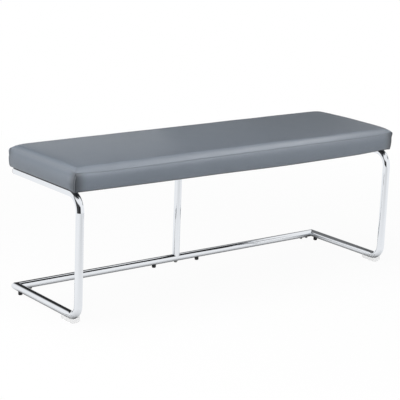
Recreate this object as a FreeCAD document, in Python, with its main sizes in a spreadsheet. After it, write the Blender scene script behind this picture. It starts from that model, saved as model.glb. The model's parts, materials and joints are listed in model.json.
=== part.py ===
import FreeCAD, Part
import math
import os

import Sketcher

# Upholstered bench: a padded seat on two C-shaped side frames of bent round tube.
# A rail at the back joins the frames on the floor, and a centre leg stands on it under the seat.
# Millimetres. X runs along the bench, the front faces -Y, Z is up and the floor is Z = 0.

SIZES = {
    # Seat, measured over its cover; its height is that of the top edges
    "seat_length": 1300,
    "seat_depth": 384,
    "seat_height": 481,
    "seat_thickness": 69,
    "top_crown": 4,
    "end_crown": 2.5,
    "side_draw": 2,
    "side_bulge": 2,
    "front_drop": 4,
    "front_belly": 5,
    "belly_width": 24,
    "top_edge_radius": 17,
    "bottom_edge_radius": 8,
    "corner_radius": 4,
    # Cover, board and lining
    "cover_thickness": 1.2,
    "hem_width": 45,
    "board_thickness": 15,
    "board_margin": 7,
    "board_corner_radius": 12,
    "lining_thickness": 0.8,
    "lining_overlap": 9,
    # Staples, each row a margin inside the edge it holds
    "staple_pitch": 100,
    "end_staple_pitch": 55,
    "staple_width": 10,
    "staple_wire": 0.7,
    "staple_depth": 6,
    "hem_staple_margin": 6,
    "lining_staple_margin": 6,
    # Tube frame; the set-backs run from the seat's faces
    "tube_diameter": 25.4,
    "tube_wall": 1.5,
    "top_bend_radius": 50,
    "base_bend_radius": 40,
    "frame_inset": 19,
    "leg_setback": 1,
    "rail_setback": 23,
    "top_run_setback": 12,
    "stub_length": 70,
    "mitre_allowance": 19,
    "fit_clearance": 0.1,
    # Sleeves and screws in the joints of the rear rail, measured from the frame's corner
    "sleeve_wall": 4,
    "sleeve_start": 18,
    "sleeve_in_rail": 50,
    "near_screw": 25,
    "far_screw": 51,
    # Tabs between the top runs and the seat
    "tab_thickness": 3,
    "tab_width": 32,
    "tab_reach": 46,
    "tab_screw_margin": 12,
    "tab_corner_radius": 8,
    "tab_inset": 82,
    # Centre leg
    "plate_thickness": 3,
    "plate_width": 70,
    "plate_depth": 60,
    "plate_corner_radius": 8,
    "plate_screw_margin": 10,
    "insert_lift": 6,
    "insert_height": 30,
    "bolt_engagement": 20,
    # Machine screws, bolt and wood screws
    "screw_diameter": 6,
    "screw_head_diameter": 10.5,
    "screw_head_height": 3.3,
    "screw_socket": 4,
    "screw_clearance": 0.25,
    "bolt_diameter": 8,
    "bolt_head_diameter": 14,
    "bolt_head_height": 4.4,
    "bolt_socket": 5,
    "woodscrew_diameter": 4.5,
    "woodscrew_head_diameter": 9,
    "woodscrew_head_height": 2.5,
    "woodscrew_socket": 3,
    "woodscrew_bite": 11,
    # Tee nuts in the board
    "nut_flange_diameter": 19,
    "nut_flange_thickness": 1.5,
    "nut_barrel_diameter": 8,
    "nut_barrel_length": 9,
    # Black button glides, and the clear saddle glides under the front bends
    "glide_height": 10,
    "glide_diameter": 14,
    "glide_edge_radius": 3,
    "glide_stem_diameter": 8,
    "glide_stem_length": 8,
    "rear_glide_offset": 23,
    "rail_glide_offset": 92,
    "saddle_wall": 1.8,
    "saddle_length": 60,
    "saddle_front_grip": 7,
    "saddle_rear_drop": 3,
    "saddle_nose": 6,
    "saddle_edge_radius": 12,
    # End plugs of the top runs
    "plug_flange": 2,
    "plug_depth": 15,
    "plug_edge_radius": 1,
}

# Places worked out from the sizes
PLACES = {
    "tube_radius": "size.tube_diameter / 2",
    "bore_diameter": "size.tube_diameter - 2 * size.tube_wall",
    "sleeve_diameter": "place.bore_diameter - 2 * size.fit_clearance",
    "base_z": "size.glide_height + place.tube_radius",
    "seat_bottom": "size.seat_height - size.seat_thickness",
    "seat_rear": "(size.seat_depth + place.tube_radius - size.leg_setback) / 2",
    "seat_front": "place.seat_rear - size.seat_depth",
    "seat_y": "place.seat_rear - size.seat_depth / 2",
    "top_z": "place.seat_bottom - place.tube_radius",
    "top_end_y": "place.seat_rear - size.top_run_setback",
    "tube_end_y": "place.top_end_y - size.plug_flange",
    "leg_y": "place.seat_front + size.leg_setback",
    "rail_y": "place.seat_rear - size.rail_setback",
    "mitre_end_y": "place.rail_y + size.mitre_allowance",
    "frame_x": "size.seat_length / 2 - size.frame_inset",
    "joint_x": "place.frame_x - size.stub_length",
    "board_z": "place.seat_bottom + size.cover_thickness",
    "board_edge": "size.cover_thickness + size.side_bulge + size.side_draw + size.board_margin",
    "board_length": "size.seat_length - 2 * place.board_edge",
    "board_depth": "size.seat_depth - 2 * place.board_edge",
    "lining_z": "place.seat_bottom - size.lining_thickness",
    "lining_inset": "size.hem_width - size.lining_overlap",
    "hem_staple_inset": "size.hem_width - size.hem_staple_margin",
    "lining_staple_inset": "place.lining_inset + size.lining_staple_margin",
    "tab_z": "place.lining_z - size.tab_thickness",
    "tab_y": "size.seat_depth / 2 - size.tab_inset",
    "tab_screw_offset": "size.tab_reach - size.tab_screw_margin",
    "plate_z": "place.lining_z - size.plate_thickness",
    "plate_y": "place.rail_y + place.tube_radius - size.plate_depth / 2",
    "plate_screw_x": "size.plate_width / 2 - size.plate_screw_margin",
    "plate_screw_y": "size.plate_depth / 2 - size.plate_screw_margin",
    "insert_z": "place.base_z + place.tube_radius + size.insert_lift",
    "seat_screw_x": "place.frame_x - place.tab_screw_offset",
    "screw_hole": "size.screw_diameter + 2 * size.screw_clearance",
    "woodscrew_hole": "size.woodscrew_diameter + 2 * size.screw_clearance",
    "saddle_front": "place.leg_y + place.tube_radius",
}

V = FreeCAD.Vector
UP = V(0, 0, 1)
LEFT, RIGHT = -1, 1
FRONT, REAR = -1, 1
START, END, CENTRE = range(1, 4)
H_AXIS, V_AXIS = range(-1, -3, -1)
TOUCH = 0.01

doc = FreeCAD.newDocument("upholstered_bench")
size = doc.addObject("Spreadsheet::Sheet", "size")
place = doc.addObject("App::VarSet", "place")
pieces = []


def fill_tables():
    for row, (name, value) in enumerate(SIZES.items(), start=1):
        size.set(f"A{row}", name)
        size.set(f"B{row}", str(value))
        size.setAlias(f"B{row}", name)
    doc.recompute()
    for name, formula in PLACES.items():
        place.addProperty("App::PropertyFloat", name, "Places")
        place.setExpression(name, formula)
    doc.recompute()


# Parametric helpers

def bind(item, **formulas):
    for name, formula in formulas.items():
        item.setExpression(name, formula)
    return item


def move(item, x="0", y="0", z="0"):
    for axis, formula in zip("xyz", (x, y, z)):
        item.setExpression(f"Placement.Base.{axis}", formula)
    return item


def keep(item, label):
    """Marks an object as a piece of the bench, written out under its label."""
    item.Label = label
    pieces.append(item)
    return item


def new_body(name):
    return doc.addObject("PartDesign::Body", f"{name}_body")


def new_sketch(body, role, lift="0"):
    sketch = body.newObject("Sketcher::SketchObject", f"{body.Name}_sketch")
    plane = next(feature for feature in body.Origin.OriginFeatures if feature.Role == role)
    sketch.AttachmentSupport = (plane, [""])
    sketch.MapMode = "FlatFace"
    sketch.setExpression("AttachmentOffset.Base.z", lift)
    return sketch


def dimension(sketch, formula, drawn, *constraint):
    """Binds a measure to a formula, starting from the measure as drawn."""
    index = sketch.addConstraint(Sketcher.Constraint(*constraint, drawn))
    sketch.setExpression(f"Constraints[{index}]", formula)


def pin_point(sketch, geometry, vertex, x, y):
    """Ties a point of a sketch to two formulas, measured from the sketch's origin."""
    spot = sketch.getPoint(geometry, vertex)
    for kind, formula, drawn, axis in (("DistanceX", x, spot.x, V_AXIS), ("DistanceY", y, spot.y, H_AXIS)):
        if formula == "0":
            sketch.addConstraint(Sketcher.Constraint("PointOnObject", geometry, vertex, axis))
        else:
            dimension(sketch, formula, drawn, kind, -1, START, geometry, vertex)


def add_circle(sketch, diameter, x="0", y="0"):
    circle = sketch.addGeometry(Part.Circle(V(), UP, 1.0), False)
    pin_point(sketch, circle, CENTRE, x, y)
    dimension(sketch, diameter, 2.0, "Diameter", circle)


def add_polygon(sketch, corners):
    count = len(corners)
    turns = [2 * math.pi * k / count for k in range(count)]
    seeds = [V(math.cos(turn), math.sin(turn), 0) for turn in turns]
    for k in range(count):
        sketch.addGeometry(Part.LineSegment(seeds[k], seeds[(k + 1) % count]), False)
    for k in range(count):
        sketch.addConstraint(Sketcher.Constraint("Coincident", k, END, (k + 1) % count, START))
    for k, (x, y) in enumerate(corners):
        pin_point(sketch, k, START, x, y)


def add_rectangle(sketch, left, right, low, high):
    add_polygon(sketch, [(left, low), (right, low), (right, high), (left, high)])


def pad(body, sketch, length):
    feature = body.newObject("PartDesign::Pad", f"{body.Name}_pad")
    feature.Profile = sketch
    return bind(feature, Length=length)


def pocket(body, sketch, length):
    """Cuts from the sketch along its own normal."""
    feature = body.newObject("PartDesign::Pocket", f"{body.Name}_pocket")
    feature.Profile = sketch
    feature.Reversed = True
    return bind(feature, Length=length)


def drill(body, diameter, spots, length, lift="0"):
    """Cuts round upright holes upward from a level."""
    sketch = new_sketch(body, "XY_Plane", lift)
    for x, y in spots:
        add_circle(sketch, diameter, x, y)
    return pocket(body, sketch, length)


def is_upright(edge):
    run = edge.Vertexes[-1].Point - edge.Vertexes[0].Point
    return math.hypot(run.x, run.y) < TOUCH < abs(run.z)


def round_edges(body, base, wanted, radius):
    doc.recompute()
    names = [f"Edge{k}" for k, edge in enumerate(base.Shape.Edges, start=1) if wanted(edge)]
    feature = body.newObject("PartDesign::Fillet", f"{body.Name}_rounding")
    feature.Base = (base, names)
    return bind(feature, Radius=radius)


def cylinder(name, diameter, height, z="0"):
    item = bind(doc.addObject("Part::Cylinder", name), Radius=f"({diameter}) / 2", Height=height)
    return move(item, z=z)


def cut(name, base, tool):
    item = doc.addObject("Part::Cut", name)
    item.Base = base
    item.Tool = tool
    return item


def fuse(name, *members):
    item = doc.addObject("Part::MultiFuse", name)
    item.Shapes = members
    return item


def group(label, members):
    item = doc.addObject("Part::Compound", label)
    item.Links = members
    return keep(item, label)


def tube_pad(body, length, lift="0", outer="size.tube_diameter", inner="place.bore_diameter"):
    """A straight tube along X."""
    sketch = new_sketch(body, "YZ_Plane", lift)
    add_circle(sketch, outer)
    add_circle(sketch, inner)
    return pad(body, sketch, length)


# Tube frame

def add_bend(sketch, centre, radius, start):
    """A quarter bend, drawn from its starting angle."""
    circle = Part.Circle(V(*centre, 0), UP, radius)
    return sketch.addGeometry(Part.ArcOfCircle(circle, start, start + math.pi / 2), False)


def frame_path(body):
    """Centre line of a side frame: top run, bend, leg, bend and base run."""
    leg = place.leg_y
    top = place.top_z
    base = place.base_z
    top_bend = size.top_bend_radius
    base_bend = size.base_bend_radius
    sketch = new_sketch(body, "YZ_Plane")
    sketch.addGeometry(Part.LineSegment(V(place.tube_end_y, top, 0), V(leg + top_bend, top, 0)), False)
    add_bend(sketch, (leg + top_bend, top - top_bend), top_bend, math.pi / 2)
    sketch.addGeometry(Part.LineSegment(V(leg, top - top_bend, 0), V(leg, base + base_bend, 0)), False)
    add_bend(sketch, (leg + base_bend, base + base_bend), base_bend, math.pi)
    sketch.addGeometry(Part.LineSegment(V(leg + base_bend, base, 0), V(place.mitre_end_y, base, 0)), False)
    for k in range(4):
        sketch.addConstraint(Sketcher.Constraint("Tangent", k, END, k + 1, START))
    sketch.addConstraint(Sketcher.Constraint("Horizontal", 0))
    sketch.addConstraint(Sketcher.Constraint("Vertical", 2))
    sketch.addConstraint(Sketcher.Constraint("Horizontal", 4))
    pin_point(sketch, 0, START, "place.tube_end_y", "place.top_z")
    pin_point(sketch, 4, END, "place.mitre_end_y", "place.base_z")
    dimension(sketch, "place.leg_y", leg, "DistanceX", -1, START, 2, START)
    dimension(sketch, "size.top_bend_radius", top_bend, "Radius", 1)
    dimension(sketch, "size.base_bend_radius", base_bend, "Radius", 3)
    return sketch


def mitre_triangle(sketch, inward, y, keep_side):
    """Half plane on one side of the corner's mitre; keep_side is the tube that stays."""
    reach = f"{inward * keep_side} * size.tube_diameter"
    far = f"{y} + {keep_side} * size.tube_diameter"
    near = f"{y} - {keep_side} * size.tube_diameter"
    add_polygon(sketch, [(f"-({reach})", far), (reach, far), (reach, near)])


def side_frame(label, side):
    body = new_body(label)
    path = frame_path(body)
    profile = new_sketch(body, "XZ_Plane", "-place.tube_end_y")
    add_circle(profile, "size.tube_diameter", y="place.top_z")
    add_circle(profile, "place.bore_diameter", y="place.top_z")
    tube = body.newObject("PartDesign::AdditivePipe", f"{label}_tube")
    tube.Profile = profile
    tube.Spine = path
    mitre = new_sketch(body, "XY_Plane")
    mitre_triangle(mitre, -side, "place.rail_y", 1)
    pocket(body, mitre, "place.base_z + size.tube_diameter")
    stem = "size.glide_stem_diameter + 2 * size.fit_clearance"
    drill(body, stem, [("0", "place.rail_y - size.rear_glide_offset")], "place.base_z")
    keep(move(body, x=f"{side} * place.frame_x"), label)


def corner_stub(label, side):
    body = new_body(label)
    start = "-size.mitre_allowance" if side == LEFT else "-size.stub_length"
    tube_pad(body, "size.stub_length + size.mitre_allowance", start)
    below = "-size.tube_diameter"
    mitre = new_sketch(body, "XY_Plane", below)
    mitre_triangle(mitre, -side, "0", -1)
    pocket(body, mitre, "2 * size.tube_diameter")
    spots = [(f"{-side} * size.near_screw", "0"), (f"{-side} * size.far_screw", "0")]
    drill(body, "place.screw_hole", spots, "size.tube_diameter", below)
    move(body, f"{side} * place.frame_x", "place.rail_y", "place.base_z")
    keep(body, label)


def rail_connector(label, side):
    body = new_body(label)
    in_stub = "(size.stub_length - size.sleeve_start)"
    start = f"-{in_stub}" if side == LEFT else "-size.sleeve_in_rail"
    inner = "place.sleeve_diameter - 2 * size.sleeve_wall"
    tube_pad(body, f"{in_stub} + size.sleeve_in_rail", start, "place.sleeve_diameter", inner)
    below = "-size.tube_diameter"
    spots = [(f"{side} * (size.stub_length - size.{screw}_screw)", "0") for screw in ("near", "far")]
    drill(body, "size.screw_diameter", spots, "size.tube_diameter", below)
    move(body, f"{side} * place.joint_x", "place.rail_y", "place.base_z")
    keep(body, label)


def rear_rail():
    body = new_body("rear_rail")
    tube_pad(body, "2 * place.joint_x", "-place.joint_x")
    below = "-size.tube_diameter"
    stem = "size.glide_stem_diameter + 2 * size.fit_clearance"
    spots = [(f"{side} * size.rail_glide_offset", "0") for side in (LEFT, RIGHT)]
    drill(body, stem, spots, "size.tube_diameter", below)
    bolt_hole = "size.bolt_diameter + 2 * size.screw_clearance"
    drill(body, bolt_hole, [("0", "0")], "2 * size.tube_diameter", below)
    keep(move(body, y="place.rail_y", z="place.base_z"), "rear_rail")


def end_plug(label, side):
    body = new_body(label)
    flange = new_sketch(body, "XZ_Plane", "-place.top_end_y")
    add_circle(flange, "size.tube_diameter", y="place.top_z")
    pad(body, flange, "size.plug_flange")
    barrel = new_sketch(body, "XZ_Plane", "-place.tube_end_y")
    add_circle(barrel, "place.sleeve_diameter", y="place.top_z")
    plug = pad(body, barrel, "size.plug_depth")

    def is_rim(edge):
        return edge.BoundBox.YMin > place.top_end_y - TOUCH

    round_edges(body, plug, is_rim, "size.plug_edge_radius")
    keep(move(body, x=f"{side} * place.frame_x"), label)


def seat_tab(label, side, row):
    """Plate welded to a top run, coped round the tube, with one screw hole."""
    body = new_body(label)
    reach = f"{-side} * size.tab_reach"
    outline = new_sketch(body, "XY_Plane", "place.tab_z")
    add_rectangle(outline, "0", reach, "-size.tab_width / 2", "size.tab_width / 2")
    plate = pad(body, outline, "size.tab_thickness")

    def is_free_corner(edge):
        return is_upright(edge) and abs(edge.Vertexes[0].X) > TOUCH

    round_edges(body, plate, is_free_corner, "size.tab_corner_radius")
    drill(body, "place.screw_hole", [(f"{-side} * place.tab_screw_offset", "0")], "place.lining_z")
    cope = new_sketch(body, "XZ_Plane", "-size.tab_width")
    add_circle(cope, "size.tube_diameter", y="place.top_z")
    pocket(body, cope, "2 * size.tab_width")
    move(body, f"{side} * place.frame_x", f"place.seat_y + {row} * place.tab_y")
    keep(body, label)


# Centre leg

def centre_leg():
    body = new_body("centre_leg")
    ring = new_sketch(body, "XY_Plane", "place.base_z")
    add_circle(ring, "size.tube_diameter")
    add_circle(ring, "place.bore_diameter")
    pad(body, ring, "place.plate_z - place.base_z")
    cope = new_sketch(body, "YZ_Plane", "-size.tube_diameter")
    add_circle(cope, "size.tube_diameter + 2 * size.fit_clearance", y="place.base_z")
    pocket(body, cope, "2 * size.tube_diameter")
    keep(move(body, y="place.rail_y"), "centre_leg")


def centre_leg_insert():
    plug = cylinder("insert_plug", "place.sleeve_diameter", "size.insert_height")
    thread = cylinder("insert_thread", "size.bolt_diameter", "size.insert_height")
    insert = cut("centre_leg_insert", plug, thread)
    keep(move(insert, y="place.rail_y", z="place.insert_z"), "centre_leg_insert")


def plate_spots(middle, rows=(FRONT, REAR)):
    """Holes of the plate's screws about the given middle of the plate."""
    spots = []
    for side in (LEFT, RIGHT):
        for row in rows:
            spots.append((f"{side} * place.plate_screw_x", f"{middle} + {row} * place.plate_screw_y"))
    return spots


def centre_leg_plate():
    body = new_body("centre_leg_plate")
    outline = new_sketch(body, "XY_Plane", "place.plate_z")
    low = "place.plate_y - size.plate_depth / 2"
    high = "place.plate_y + size.plate_depth / 2"
    add_rectangle(outline, "-size.plate_width / 2", "size.plate_width / 2", low, high)
    plate = pad(body, outline, "size.plate_thickness")
    round_edges(body, plate, is_upright, "size.plate_corner_radius")
    drill(body, "place.woodscrew_hole", plate_spots("place.plate_y"), "place.lining_z")
    keep(body, "centre_leg_plate")


# Fasteners

def fastener(name, kind, length, spot):
    """Socket screw pointing up, its head's seat at the given spot."""
    shank = cylinder(f"{name}_shank", f"size.{kind}_diameter", length)
    head = doc.addObject("Part::Cone", f"{name}_head")
    head_height = f"size.{kind}_head_height"
    bind(head, Radius1=f"size.{kind}_socket", Radius2=f"size.{kind}_head_diameter / 2", Height=head_height)
    move(head, z=f"-{head_height}")
    socket = doc.addObject("Part::Prism", f"{name}_socket")
    socket.Polygon = 6
    bind(socket, Circumradius=f"size.{kind}_socket / sqrt(3)", Height=f"{head_height} / 2")
    move(socket, z=f"-{head_height}")
    return move(cut(name, fuse(f"{name}_blank", shank, head), socket), *spot)


def connector_screws():
    screws = []
    for side in (LEFT, RIGHT):
        for which in ("near", "far"):
            x = f"{side} * (place.frame_x - size.{which}_screw)"
            length = "size.tube_wall + size.fit_clearance + size.sleeve_wall + size.screw_diameter / 2"
            spot = (x, "place.rail_y", "size.glide_height")
            screws.append(fastener(f"connector_screw_{len(screws) + 1}", "screw", length, spot))
    group("connector_screws", screws)


def seat_screw_spots(middle):
    """Screws of the four tabs about the given middle of the seat."""
    spots = []
    for side in (LEFT, RIGHT):
        for row in (FRONT, REAR):
            spots.append((f"{side} * place.seat_screw_x", f"{middle} + {row} * place.tab_y"))
    return spots


def seat_screws_and_nuts():
    screws = []
    nuts = []
    length = "place.board_z + size.board_thickness - place.tab_z"
    flange_z = "place.board_z + size.board_thickness - size.nut_flange_thickness"
    for k, (x, y) in enumerate(seat_screw_spots("place.seat_y"), start=1):
        screws.append(fastener(f"seat_screw_{k}", "screw", length, (x, y, "place.tab_z")))
        flange = cylinder(f"nut_{k}_flange", "size.nut_flange_diameter", "size.nut_flange_thickness")
        barrel_length = "size.nut_barrel_length + size.nut_flange_thickness"
        barrel = cylinder(f"nut_{k}_barrel", "size.nut_barrel_diameter", barrel_length, "-size.nut_barrel_length")
        thread = cylinder(f"nut_{k}_thread", "size.screw_diameter", barrel_length, "-size.nut_barrel_length")
        nut = cut(f"tee_nut_{k}", fuse(f"nut_{k}_blank", flange, barrel), thread)
        nuts.append(move(nut, x, y, flange_z))
    group("seat_screws", screws)
    group("tee_nuts", nuts)


def centre_leg_bolt():
    length = "size.tube_diameter + size.insert_lift + size.bolt_engagement"
    spot = ("0", "place.rail_y", "size.glide_height")
    keep(fastener("centre_leg_bolt", "bolt", length, spot), "centre_leg_bolt")


def plate_screws():
    length = "place.board_z - place.plate_z + size.woodscrew_bite"
    screws = []
    for k, (x, y) in enumerate(plate_spots("place.plate_y"), start=1):
        screws.append(fastener(f"plate_screw_{k}", "woodscrew", length, (x, y, "place.plate_z")))
    return group("plate_screws", screws)


# Glides

def button_glide(label, x, y, turn):
    """Round foot under a tube along X, turned about Z, with its stem through the tube's wall."""
    body = new_body(label)
    disc = new_sketch(body, "XY_Plane")
    add_circle(disc, "size.glide_diameter")
    foot = pad(body, disc, "place.base_z")

    def is_sole_edge(edge):
        return edge.BoundBox.ZMax < TOUCH

    round_edges(body, foot, is_sole_edge, "size.glide_edge_radius")
    seat = new_sketch(body, "YZ_Plane", "-size.glide_diameter")
    add_circle(seat, "size.tube_diameter", y="place.base_z")
    pocket(body, seat, "2 * size.glide_diameter")
    stem = new_sketch(body, "XY_Plane", "size.glide_height / 2")
    add_circle(stem, "size.glide_stem_diameter")
    pad(body, stem, "size.glide_height / 2 + size.tube_wall + size.glide_stem_length")
    body.Placement = FreeCAD.Placement(V(), FreeCAD.Rotation(UP, turn))
    keep(move(body, x, y), label)


def saddle_glide(label, side):
    """Clear saddle under a front bend: its walls hold the tube from below."""
    body = new_body(label)
    width = "(size.tube_diameter + 2 * size.saddle_wall)"
    rear = "place.saddle_front + size.saddle_length"
    outline = new_sketch(body, "YZ_Plane", f"-{width} / 2")
    add_polygon(outline, [
        ("place.saddle_front", "size.saddle_nose"),
        ("place.saddle_front + size.saddle_nose", "0"),
        (f"{rear} - size.saddle_nose / 2", "0"),
        (rear, "size.saddle_nose / 2"),
        (rear, "place.base_z - size.saddle_rear_drop"),
        ("place.saddle_front", "place.base_z + size.saddle_front_grip"),
    ])
    block = pad(body, outline, width)

    def is_long_sole_edge(edge):
        return edge.BoundBox.ZMax < TOUCH and edge.BoundBox.YLength > TOUCH

    round_edges(body, block, is_long_sole_edge, "size.saddle_edge_radius")
    path = frame_path(body)
    groove = new_sketch(body, "XZ_Plane", "-place.tube_end_y")
    add_circle(groove, "size.tube_diameter + 2 * size.fit_clearance", y="place.top_z")
    hollow = body.newObject("PartDesign::SubtractivePipe", f"{label}_groove")
    hollow.Profile = groove
    hollow.Spine = path
    keep(move(body, x=f"{side} * place.frame_x"), label)


# Seat

def staple_lines(inset, shift):
    """Middle and direction of each staple, along the hem and between the seat's tabs."""
    half_length = size.seat_length / 2 - inset
    half_depth = size.seat_depth / 2 - inset
    count = int((half_length - size.staple_pitch) / size.staple_pitch)
    spots = []
    for k in range(-count, count + 1 - math.ceil(shift)):
        x = (k + shift) * size.staple_pitch
        spots += [(V(x, place.seat_y + row * half_depth, 0), V(1, 0, 0)) for row in (FRONT, REAR)]
    for k in (-1, 0, 1):
        y = place.seat_y + (k + shift / 2) * size.end_staple_pitch
        spots += [(V(side * half_length, y, 0), V(0, 1, 0)) for side in (LEFT, RIGHT)]
    return spots


def staple(middle, along, crown_z):
    """Crown on its underside at crown_z, two legs up into the board."""
    wire = size.staple_wire
    across = V(-along.y, along.x, 0)
    start = middle - along * (size.staple_width / 2) - across * (wire / 2)
    turn = FreeCAD.Rotation(V(1, 0, 0), along)
    leg_height = place.board_z + size.staple_depth - crown_z
    crown = Part.makeBox(size.staple_width, wire, wire)
    near_leg = Part.makeBox(wire, wire, leg_height)
    far_leg = Part.makeBox(wire, wire, leg_height, V(size.staple_width - wire, 0, 0))
    shape = crown.fuse([near_leg, far_leg]).removeSplitter()
    shape.Placement = FreeCAD.Placement(V(start.x, start.y, crown_z), turn)
    return shape


def staples(label, inset, shift, crown_z):
    item = doc.addObject("Part::Feature", label)
    shapes = [staple(middle, along, crown_z) for middle, along in staple_lines(inset, shift)]
    item.Shape = Part.makeCompound(shapes)
    return keep(item, label)


def seat_board(*staple_groups):
    """Plywood board; returns its plain outline, which the foam is cut round."""
    body = new_body("seat_board")
    outline = new_sketch(body, "XY_Plane")
    half_length = "place.board_length / 2"
    half_depth = "place.board_depth / 2"
    add_rectangle(outline, f"-{half_length}", half_length, f"-{half_depth}", half_depth)
    slab = pad(body, outline, "size.board_thickness")
    blank = round_edges(body, slab, is_upright, "size.board_corner_radius")
    nuts = seat_screw_spots("0")
    drill(body, "size.nut_barrel_diameter", nuts, "2 * size.board_thickness")
    recess = "size.board_thickness - size.nut_flange_thickness"
    drill(body, "size.nut_flange_diameter", nuts, "size.board_thickness", recess)
    pilots = plate_spots("place.plate_y - place.seat_y")
    drill(body, "size.woodscrew_diameter", pilots, "size.woodscrew_bite")
    move(body, y="place.seat_y", z="place.board_z")
    doc.recompute()
    keep(cut("seat_board", body, fuse("board_staples", *staple_groups)), "seat_board")
    outline_shape = blank.Shape.copy()
    outline_shape.Placement = body.Placement
    return outline_shape


def dust_cover(lining_staples):
    body = new_body("dust_cover")
    outline = new_sketch(body, "XY_Plane")
    half_length = "(size.seat_length / 2 - place.lining_inset)"
    half_depth = "(size.seat_depth / 2 - place.lining_inset)"
    add_rectangle(outline, f"-{half_length}", half_length, f"-{half_depth}", half_depth)
    pad(body, outline, "size.lining_thickness")
    drill(body, "place.screw_hole", seat_screw_spots("0"), "2 * size.lining_thickness")
    front_holes = plate_spots("place.plate_y - place.seat_y", [FRONT])
    drill(body, "place.woodscrew_hole", front_holes, "2 * size.lining_thickness")
    move(body, y="place.seat_y", z="place.lining_z")
    keep(cut("dust_cover", body, lining_staples), "dust_cover")


def seat_section(x, half_depth, low, high, crown, belly, inset):
    """Cross-section of the padded seat: crowned top, bulged sides and a belly along the front."""
    top_round = size.top_edge_radius - inset
    low_round = size.bottom_edge_radius - inset
    slant = math.sqrt(0.5)

    def at(y, z):
        return V(x, place.seat_y + y, z)

    def side(out, sole):
        """Lower round, side and upper round, from the sole up."""
        edge = out * half_depth
        foot = at(out * (half_depth - low_round), sole)
        heel = at(out * (half_depth - low_round * (1 - slant)), sole + low_round * (1 - slant))
        waist_low = at(edge, sole + low_round)
        waist = at(edge + out * size.side_bulge, (sole + high) / 2)
        waist_high = at(edge, high - top_round)
        brow = at(out * (half_depth - top_round * (1 - slant)), high - top_round * (1 - slant))
        brim = at(out * (half_depth - top_round), high)
        arcs = ((foot, heel, waist_low), (waist_low, waist, waist_high), (waist_high, brow, brim))
        return [Part.Arc(*points).toShape() for points in arcs], foot, brim

    rear, rear_foot, rear_brim = side(REAR, low)
    front, front_foot, front_brim = side(FRONT, low - belly)
    flat_start = front_foot + V(0, size.belly_width, belly)
    crown_arc = Part.Arc(rear_brim, at(0, high + crown), front_brim).toShape()
    sole = [Part.makeLine(front_foot, flat_start), Part.makeLine(flat_start, rear_foot)]
    return Part.Wire(sole + rear + [crown_arc] + front[::-1])


def seat_form(inset):
    """Closed form of the padded seat, set in from its outside, as a loft along its length."""
    half_length = size.seat_length / 2 - inset
    low = place.seat_bottom + inset
    high = size.seat_height - inset
    end_round = size.top_edge_radius - inset
    straight = half_length - end_round
    ends = [math.radians(angle) for angle in (0, 30, 60)]
    sections = []

    def section(x, fade=0.0):
        middle = 1 - min(1, abs(x) / straight) ** 2
        half_depth = size.seat_depth / 2 - inset - size.side_bulge - size.side_draw * middle
        half_depth -= size.corner_radius * fade
        crown = size.end_crown + (size.top_crown - size.end_crown) * middle
        belly = size.front_drop + size.front_belly * middle
        rise = (size.bottom_edge_radius - inset) * fade
        sections.append(seat_section(x, half_depth, low + rise, high - end_round * fade, crown, belly, inset))

    for angle in ends:
        section(-half_length + end_round * (1 - math.cos(angle)), 1 - math.sin(angle))
    for share in (-1, -2 / 3, -1 / 3, 0, 1 / 3, 2 / 3, 1):
        section(share * straight)
    for angle in reversed(ends):
        section(half_length - end_round * (1 - math.cos(angle)), 1 - math.sin(angle))
    return Part.makeLoft(sections, True, True)


def padding_and_cover(board, cover_staples, lining_staples, screws):
    doc.recompute()
    inside = seat_form(size.cover_thickness)
    foam = doc.addObject("Part::Feature", "foam_pad")
    foam.Shape = inside.cut(board)
    keep(foam, "foam_pad")
    half_length = size.seat_length / 2 - size.hem_width
    half_depth = size.seat_depth / 2 - size.hem_width
    depth = size.cover_thickness + size.front_drop + size.front_belly
    corner = V(-half_length, place.seat_y - half_depth, place.board_z - depth)
    mouth = Part.makeBox(2 * half_length, 2 * half_depth, depth, corner)
    cover = doc.addObject("Part::Feature", "seat_cover")
    cover.Shape = seat_form(0).cut([inside, mouth, cover_staples.Shape, lining_staples.Shape, screws.Shape])
    keep(cover, "seat_cover")


def build():
    fill_tables()
    for side, name in ((LEFT, "left"), (RIGHT, "right")):
        side_frame(f"{name}_side_frame", side)
        corner_stub(f"{name}_corner_stub", side)
        rail_connector(f"{name}_rail_connector", side)
        end_plug(f"{name}_end_plug", side)
        seat_tab(f"{name}_front_tab", side, FRONT)
        seat_tab(f"{name}_rear_tab", side, REAR)
        saddle_glide(f"{name}_front_glide", side)
        rear_y = "place.rail_y - size.rear_glide_offset"
        button_glide(f"{name}_rear_glide", f"{side} * place.frame_x", rear_y, 90)
        button_glide(f"{name}_rail_glide", f"{side} * size.rail_glide_offset", "place.rail_y", 0)
    rear_rail()
    centre_leg()
    centre_leg_insert()
    centre_leg_plate()
    centre_leg_bolt()
    connector_screws()
    seat_screws_and_nuts()
    screws = plate_screws()
    cover_staples = staples("cover_staples", place.hem_staple_inset, 0, place.seat_bottom)
    crown_z = place.lining_z - size.staple_wire
    lining_staples = staples("lining_staples", place.lining_staple_inset, 0.5, crown_z)
    board = seat_board(cover_staples, lining_staples)
    dust_cover(lining_staples)
    padding_and_cover(board, cover_staples, lining_staples, screws)
    doc.recompute()


def check():
    for item in doc.Objects:
        if {"Invalid", "Error"} & set(item.State):
            raise RuntimeError(f"{item.Label} failed: {item.State}")
    for item in pieces:
        if item.Shape.isNull() or not item.Shape.isValid() or not item.Shape.Solids:
            raise RuntimeError(f"{item.Label} has no sound shape")


def write():
    os.makedirs("parts", exist_ok=True)
    for item in pieces:
        item.Shape.exportStep(f"parts/{item.Label}.step")


build()
check()
write()
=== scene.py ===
import json
import math

import bpy
import numpy as np
from mathutils import Matrix, Vector, noise

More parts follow.
